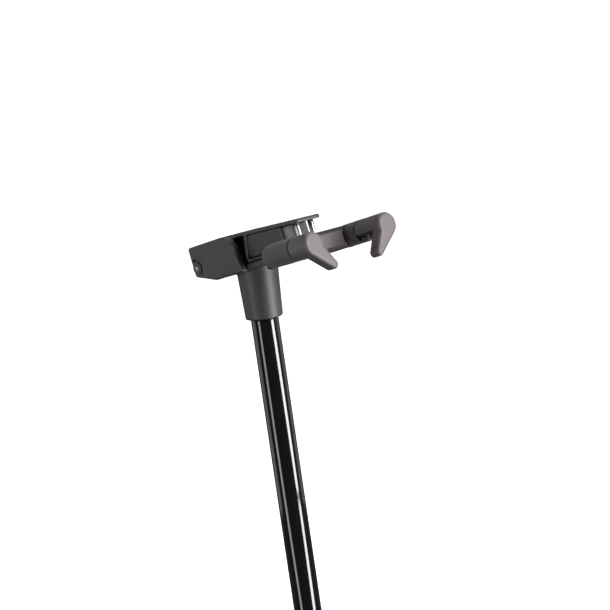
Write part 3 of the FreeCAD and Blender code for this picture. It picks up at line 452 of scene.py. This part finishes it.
def relaxed(node, name, cell, passes, softer=None, more=0):
    """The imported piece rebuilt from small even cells, then relaxed so that its corners round off.
    Where softer(x, v, w) is true the skin relaxes for more passes, so its corners get rounder."""
    piece = merged_copy(node, name)
    remesh = piece.modifiers.new("even cells", "REMESH")
    remesh.mode = "VOXEL"
    remesh.voxel_size = cell
    smooth = piece.modifiers.new("relax", "SMOOTH")
    smooth.factor = RELAX_STEP
    smooth.iterations = passes
    baked(piece)
    if softer:
        chosen = [v.index for v in piece.data.vertices if softer(*along(v.co))]
        group = piece.vertex_groups.new(name="softer")
        group.add(chosen, 1.0, "REPLACE")
        extra = piece.modifiers.new("relax more", "SMOOTH")
        extra.factor = RELAX_STEP
        extra.iterations = more
        extra.vertex_group = "softer"
        baked(piece)
        piece.vertex_groups.clear()
    flat = bmesh.new()
    flat.from_mesh(piece.data)
    bmesh.ops.dissolve_limit(flat, angle_limit=CURVE_ANGLE, verts=flat.verts, edges=flat.edges,
                             delimit=set())
    bmesh.ops.triangulate(flat, faces=[f for f in flat.faces if len(f.verts) > 4])
    flat.to_mesh(piece.data)
    flat.free()
    piece.data.shade_smooth()
    shading = piece.modifiers.new("even shading", "WEIGHTED_NORMAL")
    shading.keep_sharp = True
    baked(piece)
    print(name, len(piece.data.polygons), "faces")
    return piece


def outer_corner(x, v, w):
    """The cheeks' outer edges and the back, but not the ring round the hinge pin."""
    if math.hypot(v - HINGE_V, w - HINGE_W) < HINGE_RING:
        return False
    return abs(x) > CHEEK_OUTSIDE or (v < BACK_V and w > BACK_TOP_W)


housing_shell = relaxed("head_housing", "housing_shell", SHELL_CELL, 5, outer_corner, 30)
paint(housing_shell, housing_grain)
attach(housing_shell, "head")
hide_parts("head_housing")

# %% [markdown]
# The collar is a tapered sleeve with the platform and the hinge ear moulded on. Its foot rolls
# under in a small radius and its platform has soft front corners.

# %% Collar
collar_shell = relaxed("collar", "collar_shell", SHELL_CELL, 4)
paint(collar_shell, collar_grain)
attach(collar_shell, "post")
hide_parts("collar")

# %% [markdown]
# The stem is a painted casting that stands in the recess and carries the yoke's guides. Its rear
# corners are well rounded, so that a dark line of shadow runs round it inside the housing. The
# crossbar's covers and the gates' stop blocks are small, so they take finer cells.

# %% Stem, yoke castings and the crossbar's small pieces
EDGE_BREAK, EDGE_STEPS = 0.0003, 2
EDGE_ANGLE, SHARP_ANGLE = math.radians(50), math.radians(35)
stem_casting = relaxed("yoke_stem", "stem_casting", CASTING_CELL, 5)
paint(stem_casting, stem_cast)
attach(stem_casting, "head")
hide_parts("yoke_stem")

# the yoke has thin walls round the cranks, so its copy keeps its faces and isn't rebuilt from cells;
# the bevel is held back by its smallest faces, so its edges stay all but sharp
yoke_casting = merged_copy("yoke_frame", "yoke_casting")
broken = yoke_casting.modifiers.new("broken edges", "BEVEL")
broken.width = EDGE_BREAK
broken.segments = EDGE_STEPS
broken.limit_method = "ANGLE"
broken.angle_limit = EDGE_ANGLE
broken.use_clamp_overlap = True
baked(yoke_casting)
yoke_casting.data.shade_smooth()
yoke_casting.data.set_sharp_from_angle(angle=SHARP_ANGLE)
print("yoke_casting", len(yoke_casting.data.polygons), "faces")
paint(yoke_casting, stem_cast)
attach(yoke_casting, "yoke")
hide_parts("yoke_frame")

for side in BOTH:
    cover = relaxed("crossbar_cover_" + side, "bar_cover_" + side, SMALL_CELL, 4)
    paint(cover, housing_grain)
    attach(cover, "yoke")
    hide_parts("crossbar_cover_" + side)
    stop = relaxed("gate_stop_" + side, "stop_block_" + side, SMALL_CELL, 5)
    paint(stop, sleeve_foam)
    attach(stop, "yoke")
    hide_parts("gate_stop_" + side)

# %% [markdown]
# The post is a drawn steel tube under gloss powder coat. Its long bright line must run clean and
# straight, so the wall is turned as one fine, evenly divided profile with small chamfered lips at
# its ends.

# %% Post tube
low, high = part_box("post_tube")
OUTER, WALL, LIP = high[0], 0.0015, 0.0004
SIDES = 128
LIP_ANGLE = math.radians(50)
profile = [(OUTER - WALL, high[2]), (OUTER - LIP, high[2]), (OUTER, high[2] - LIP), (OUTER, low[2] + LIP),
           (OUTER - LIP, low[2]), (OUTER - WALL + LIP, low[2]), (OUTER - WALL, low[2] + LIP)]
turns = [2 * math.pi * k / SIDES for k in range(SIDES)]
points = [(r * math.cos(a), r * math.sin(a), z) for r, z in profile for a in turns]
tube_mesh = bpy.data.meshes.new("tube_wall")
faces = []
for i in range(len(profile)):
    j = (i + 1) % len(profile)
    for k in range(SIDES):
        n = (k + 1) % SIDES
        faces.append((i * SIDES + k, j * SIDES + k, j * SIDES + n, i * SIDES + n))
tube_mesh.from_pydata(points, [], faces)
tube_wall = placed("tube_wall", tube_mesh)
work = bmesh.new()
work.from_mesh(tube_mesh)
bmesh.ops.recalc_face_normals(work, faces=work.faces)
work.to_mesh(tube_mesh)
work.free()
tube_mesh.shade_smooth()
tube_mesh.set_sharp_from_angle(angle=LIP_ANGLE)
paint(tube_wall, gloss_tube)
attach(tube_wall, "post")
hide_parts("post_tube")
print("tube wall", len(faces), "faces")

# %% [markdown]
# The arms' sleeves and the gates' skins are soft mouldings. Rebuilding each skin from even small cells and
# letting it relax gives the full, rounded corners of foam rubber. The sleeves, the skins and the strip on
# the crossbar are soft all through.

# %% Soft skins
for side in BOTH:
    sleeve = relaxed("arm_foam_" + side, "foam_sleeve_" + side, SKIN_CELL, 5)
    paint(sleeve, sleeve_foam)
    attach(sleeve, "yoke")
    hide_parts("arm_foam_" + side)
    skin = relaxed("gate_pad_" + side, "gate_skin_" + side, SKIN_CELL, 9)
    paint(skin, gate_skin)
    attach(skin, "gate_" + side)
    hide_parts("gate_pad_" + side)

pad = relaxed("crossbar_pad", "neck_cushion", SKIN_CELL, 12)
paint(pad, sleeve_foam)
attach(pad, "yoke")
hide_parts("crossbar_pad")

# %% [markdown]
# Screws repeat, so a node tree makes one and sets a copy on every seat. The head is a low button
# with a chamfered rim; the driver's socket is a six-sided prism cut out of it. The tree's named
# inputs carry the sizes, so one tree serves screws of every size.

# %% Screw node tree
HEAD_SIDES, SHANK_SIDES, SOCKET_SIDES = 48, 32, 6
RIM_RISE, RIM_NARROWING, HEAD_LIFT, SHANK_DROP = 0.3, 0.84, 0.35, -0.5


def screw_tree(material):
    """Geometry nodes that set one screw on every seat, pointing along the axis."""
    tree = bpy.data.node_groups.new("socket_screw", "GeometryNodeTree")
    tree.interface.new_socket("Seats", in_out="INPUT", socket_type="NodeSocketGeometry")
    for label in ("Head Radius", "Head Height", "Socket Radius", "Shank Radius", "Shank Length"):
        tree.interface.new_socket(label, in_out="INPUT", socket_type="NodeSocketFloat")
    tree.interface.new_socket("Axis", in_out="INPUT", socket_type="NodeSocketVector")
    tree.interface.new_socket("Screws", in_out="OUTPUT", socket_type="NodeSocketGeometry")
    start, end = tree.nodes.new("NodeGroupInput"), tree.nodes.new("NodeGroupOutput")

    def cylinder(sides, radius, depth):
        node = tree.nodes.new("GeometryNodeMeshCylinder")
        node.inputs["Vertices"].default_value = sides
        link(tree, radius, node.inputs["Radius"])
        link(tree, depth, node.inputs["Depth"])
        return node

    def moved(geometry, height):
        vector = tree.nodes.new("ShaderNodeCombineXYZ")
        link(tree, height, vector.inputs["Z"])
        node = tree.nodes.new("GeometryNodeTransform")
        link(tree, geometry, node.inputs["Geometry"])
        link(tree, vector.outputs[0], node.inputs["Translation"])
        return node.outputs[0]

    head = cylinder(HEAD_SIDES, start.outputs["Head Radius"], start.outputs["Head Height"])
    rim = tree.nodes.new("GeometryNodeExtrudeMesh")
    link(tree, head.outputs["Mesh"], rim.inputs["Mesh"])
    link(tree, head.outputs["Top"], rim.inputs["Selection"])
    rise = math_node(tree, "MULTIPLY", start.outputs["Head Height"], RIM_RISE)
    link(tree, rise, rim.inputs["Offset Scale"])
    narrow = tree.nodes.new("GeometryNodeScaleElements")
    link(tree, rim.outputs["Mesh"], narrow.inputs["Geometry"])
    link(tree, rim.outputs["Top"], narrow.inputs["Selection"])
    narrow.inputs["Scale"].default_value = RIM_NARROWING
    lift = math_node(tree, "MULTIPLY", start.outputs["Head Height"], HEAD_LIFT)
    raised = moved(narrow.outputs["Geometry"], lift)
    socket = cylinder(SOCKET_SIDES, start.outputs["Socket Radius"], start.outputs["Head Height"])
    drill = moved(socket.outputs["Mesh"], start.outputs["Head Height"])
    hollow = tree.nodes.new("GeometryNodeMeshBoolean")
    hollow.operation = "DIFFERENCE"
    link(tree, raised, hollow.inputs["Mesh 1"])
    link(tree, drill, hollow.inputs["Mesh 2"])
    shank = cylinder(SHANK_SIDES, start.outputs["Shank Radius"], start.outputs["Shank Length"])
    drop = math_node(tree, "MULTIPLY", start.outputs["Shank Length"], SHANK_DROP)
    sunk = moved(shank.outputs["Mesh"], drop)
    whole = tree.nodes.new("GeometryNodeJoinGeometry")
    link(tree, sunk, whole.inputs[0])
    link(tree, hollow.outputs["Mesh"], whole.inputs[0])
    aim = tree.nodes.new("FunctionNodeAlignRotationToVector")
    aim.axis = "Z"
    link(tree, start.outputs["Axis"], aim.inputs["Vector"])
    copies = tree.nodes.new("GeometryNodeInstanceOnPoints")
    link(tree, start.outputs["Seats"], copies.inputs["Points"])
    link(tree, whole.outputs[0], copies.inputs["Instance"])
    link(tree, aim.outputs["Rotation"], copies.inputs["Rotation"])
    real = tree.nodes.new("GeometryNodeRealizeInstances")
    link(tree, copies.outputs[0], real.inputs[0])
    finish_node = tree.nodes.new("GeometryNodeSetMaterial")
    finish_node.inputs["Material"].default_value = material
    link(tree, real.outputs[0], finish_node.inputs["Geometry"])
    link(tree, finish_node.outputs[0], end.inputs["Screws"])
    return tree


SCREW_TREE = screw_tree(black_oxide)
print("screw tree with", len(SCREW_TREE.nodes), "nodes")

# %% [markdown]
# Each set of screws needs only its seats, an axis and five sizes. The collar's screws stand one
# above the other at its back, on seats sunk into the taper. The covers' screws face backwards.

# %% Sets of screws
HEAD_ANGLE = math.radians(30)


def screw_set(name, replaced, body, seats, axis, sizes):
    """Plain mesh of the screws whose heads sit on the seats and point along the axis."""
    seat_mesh = bpy.data.meshes.new(name)
    seat_mesh.from_pydata([tuple(p) for p in seats], [], [])
    piece = placed(name, seat_mesh)
    nodes_modifier = piece.modifiers.new("screws", "NODES")
    sockets = {item.name: item.identifier for item in SCREW_TREE.interface.items_tree}
    nodes_modifier.node_group = SCREW_TREE
    for label, value in sizes.items():
        nodes_modifier[sockets[label]] = value
    nodes_modifier[sockets["Axis"]] = tuple(axis)
    baked(piece)
    piece.data.shade_smooth()
    piece.data.set_sharp_from_angle(angle=HEAD_ANGLE)
    paint(piece, black_oxide)
    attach(piece, body)
    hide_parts(replaced)
    print(name, len(seats), "screws,", len(piece.data.polygons), "faces")


def sizes_of(head_radius, head_height, socket, shank, length):
    """The node tree's inputs, from millimetres."""
    labels = ("Head Radius", "Head Height", "Socket Radius", "Shank Radius", "Shank Length")
    return dict(zip(labels, (v / 1000 for v in (head_radius, head_height, socket, shank, length))))


COLLAR_FOOT_Z = 0.27
FOOT_R, FLARE, TAPER_HEIGHT, SEAT_SUNK = 12.8, 1.5, 34.0, 1.6
COLLAR_SCREW_HEIGHTS = (9.0, 21.0)
COVER_SCREW_X, COVER_SCREW_V, COVER_SCREW_W = 31.0, 46.0, 3.0


def collar_seat(height):
    """The seat at a height in millimetres above the collar's foot."""
    back = FOOT_R + FLARE * height / TAPER_HEIGHT - SEAT_SUNK
    return Vector((0.0, back / 1000, COLLAR_FOOT_Z + height / 1000))


COLLAR_SEATS = [collar_seat(height) for height in COLLAR_SCREW_HEIGHTS]
screw_set("collar_screw_set", "collar_screws", "post", COLLAR_SEATS, (0, 1, 0),
          sizes_of(3.35, 1.2, 1.7, 1.7, 6.5))
COVER_SEATS = [head_point(x, COVER_SCREW_V, COVER_SCREW_W) for x in (-COVER_SCREW_X, COVER_SCREW_X)]
screw_set("cover_screw_set", "cover_screws", "yoke", COVER_SEATS, -FORWARD,
          sizes_of(1.9, 0.6, 0.95, 0.9, 4.0))

# %% [markdown]
# The guide pins are ground rods. Even rings of faces keep their long reflections straight, which
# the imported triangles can't do.

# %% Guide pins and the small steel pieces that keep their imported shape
PIN_R, PIN_EDGE = 0.002, 0.00025
EDGE_MM = PIN_EDGE * 1000
PIN_X, PIN_V, PIN_LOW_W, PIN_HIGH_W = 6.5, 56.6, -3.6, 21.5
PIN_SIDES = 64
PIN_PROFILE = [(0.0, PIN_LOW_W), (PIN_R - PIN_EDGE, PIN_LOW_W), (PIN_R, PIN_LOW_W + EDGE_MM),
               (PIN_R, PIN_HIGH_W - EDGE_MM), (PIN_R - PIN_EDGE, PIN_HIGH_W), (0.0, PIN_HIGH_W)]
pin_turns = [2 * math.pi * k / PIN_SIDES for k in range(PIN_SIDES)]
pin_rings = bmesh.new()
for x in (-PIN_X, PIN_X):
    previous = None
    for radius, w in PIN_PROFILE:
        centre = head_point(x, PIN_V, w)
        if radius == 0.0:
            ring = [pin_rings.verts.new(centre)]
        else:
            ring = [pin_rings.verts.new(centre + (SIDEWAYS * math.cos(a) + FORWARD * math.sin(a)) * radius)
                    for a in pin_turns]
        if previous:
            for k in range(PIN_SIDES):
                n = (k + 1) % PIN_SIDES
                corners = [previous[k % len(previous)], previous[n % len(previous)], ring[n % len(ring)],
                           ring[k % len(ring)]]
                pin_rings.faces.new(list(dict.fromkeys(corners)))
        previous = ring
bmesh.ops.recalc_face_normals(pin_rings, faces=pin_rings.faces)
pin_mesh = bpy.data.meshes.new("guide_rods")
pin_rings.to_mesh(pin_mesh)
pin_rings.free()
guide_rods = placed("guide_rods", pin_mesh)
pin_mesh.shade_smooth()
pin_mesh.set_sharp_from_angle(angle=LIP_ANGLE)
paint(guide_rods, bright_steel)
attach(guide_rods, "head")
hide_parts("guide_pins")
for name in ("stem_screws", "cam_screws"):
    paint(nodes[name], black_oxide)
paint(nodes["return_springs"], spring_wire)
print("guide rods", len(pin_mesh.polygons), "faces")
